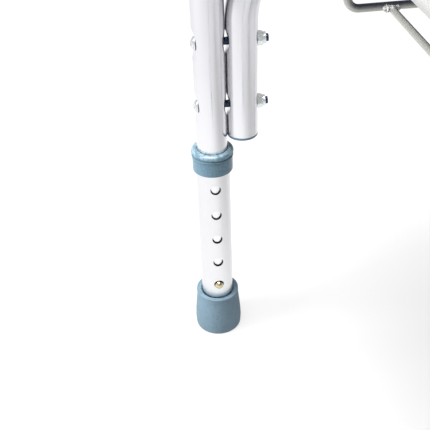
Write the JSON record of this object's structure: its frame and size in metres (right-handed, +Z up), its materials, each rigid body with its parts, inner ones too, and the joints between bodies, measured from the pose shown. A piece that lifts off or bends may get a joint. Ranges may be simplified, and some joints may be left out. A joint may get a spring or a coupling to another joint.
{
  "type": "shower stool",
  "caption": "Shower stool with a moulded seat, armrests, nested bent aluminium tubes and telescoping legs with snap buttons, collars and rubber feet.",
  "frame": {"origin": "on the floor, under the middle of the seat", "axes": "+Z up, the front faces -Y, +X towards the right side frame"},
  "size_m": [0.508, 0.4734, 0.6227],
  "materials": {
    "anodised_tube": "satin anodised",
    "sleeve_tube": "satin anodised",
    "blue_grey_plastic": "moulded, low sheen",
    "foot_rubber": "matt moulded rubber",
    "brass": "plain brass, slightly dull",
    "spring_steel": "bright spring steel",
    "zinc_steel": "bright zinc plate",
    "nylon_ring": "smooth nylon",
    "black_plastic": "matt black",
    "seat_plastic": "fine grained blow-moulded plastic",
    "arm_pad_plastic": "grained moulded pad",
    "wire_steel": "plated wire"
  },
  "bodies": {
    "frame": {"side_tube_left": "anodised_tube", "side_tube_right": "anodised_tube", "seat_rail_left": "anodised_tube", "seat_rail_right": "anodised_tube", "cross_tube_front": "anodised_tube", "cross_tube_rear": "anodised_tube", "rail_end_cap_front_left": "blue_grey_plastic", "rail_end_cap_front_right": "blue_grey_plastic", "rail_end_cap_rear_left": "blue_grey_plastic", "rail_end_cap_rear_right": "blue_grey_plastic", "seat_inserts": "brass", "snap_spring_front_left": "spring_steel", "snap_spring_front_right": "spring_steel", "snap_spring_rear_left": "spring_steel", "snap_spring_rear_right": "spring_steel", "rack_push_nuts": "spring_steel", "frame_bolts": "zinc_steel", "frame_nuts": "zinc_steel", "cross_tube_bolts": "zinc_steel", "seat_screws": "zinc_steel", "arm_pad_screws": "zinc_steel", "nut_rings": "nylon_ring", "cross_tube_plugs": "black_plastic", "seat_board": "seat_plastic", "arm_pad_left": "arm_pad_plastic", "arm_pad_right": "arm_pad_plastic", "rack_hanger_left": "wire_steel", "rack_hanger_right": "wire_steel", "rack_cross_rod_front": "wire_steel", "rack_cross_rod_rear": "wire_steel"},
    "leg_front_left": {"leg_sleeve_front_left": "sleeve_tube", "leg_collar_front_left": "blue_grey_plastic", "foot_tip_front_left": "foot_rubber", "foot_washer_front_left": "spring_steel"},
    "button_front_left": {"snap_button_front_left": "brass"},
    "leg_front_right": {"leg_sleeve_front_right": "sleeve_tube", "leg_collar_front_right": "blue_grey_plastic", "foot_tip_front_right": "foot_rubber", "foot_washer_front_right": "spring_steel"},
    "button_front_right": {"snap_button_front_right": "brass"},
    "leg_rear_left": {"leg_sleeve_rear_left": "sleeve_tube", "leg_collar_rear_left": "blue_grey_plastic", "foot_tip_rear_left": "foot_rubber", "foot_washer_rear_left": "spring_steel"},
    "button_rear_left": {"snap_button_rear_left": "brass"},
    "leg_rear_right": {"leg_sleeve_rear_right": "sleeve_tube", "leg_collar_rear_right": "blue_grey_plastic", "foot_tip_rear_right": "foot_rubber", "foot_washer_rear_right": "spring_steel"},
    "button_rear_right": {"snap_button_rear_right": "brass"}
  },
  "joints": [
    {"name": "leg_slide_front_left", "type": "slide", "parent": "frame", "child": "leg_front_left", "axis": [0, 0, -1], "range_m": [0, 0.1048], "deforming": ["snap_button_front_left"]},
    {"name": "leg_slide_front_right", "type": "slide", "parent": "frame", "child": "leg_front_right", "axis": [0, 0, -1], "range_m": [0, 0.1048], "deforming": ["snap_button_front_right"]},
    {"name": "leg_slide_rear_left", "type": "slide", "parent": "frame", "child": "leg_rear_left", "axis": [0, 0, -1], "range_m": [0, 0.1048], "deforming": ["snap_button_rear_left"]},
    {"name": "leg_slide_rear_right", "type": "slide", "parent": "frame", "child": "leg_rear_right", "axis": [0, 0, -1], "range_m": [0, 0.1048], "deforming": ["snap_button_rear_right"]},
    {"name": "button_press_front_left", "type": "slide", "parent": "frame", "child": "button_front_left", "axis": [-1, 0, 0], "range_m": [0, 0.0048], "stiffness_N_per_m": 3000, "springref_m": -0.002, "deforming": ["snap_spring_front_left"]},
    {"name": "button_press_front_right", "type": "slide", "parent": "frame", "child": "button_front_right", "axis": [1, 0, 0], "range_m": [0, 0.0048], "stiffness_N_per_m": 3000, "springref_m": -0.002, "deforming": ["snap_spring_front_right"]},
    {"name": "button_press_rear_left", "type": "slide", "parent": "frame", "child": "button_rear_left", "axis": [-1, 0, 0], "range_m": [0, 0.0048], "stiffness_N_per_m": 3000, "springref_m": -0.002, "deforming": ["snap_spring_rear_left"]},
    {"name": "button_press_rear_right", "type": "slide", "parent": "frame", "child": "button_rear_right", "axis": [1, 0, 0], "range_m": [0, 0.0048], "stiffness_N_per_m": 3000, "springref_m": -0.002, "deforming": ["snap_spring_rear_right"]}
  ]
}
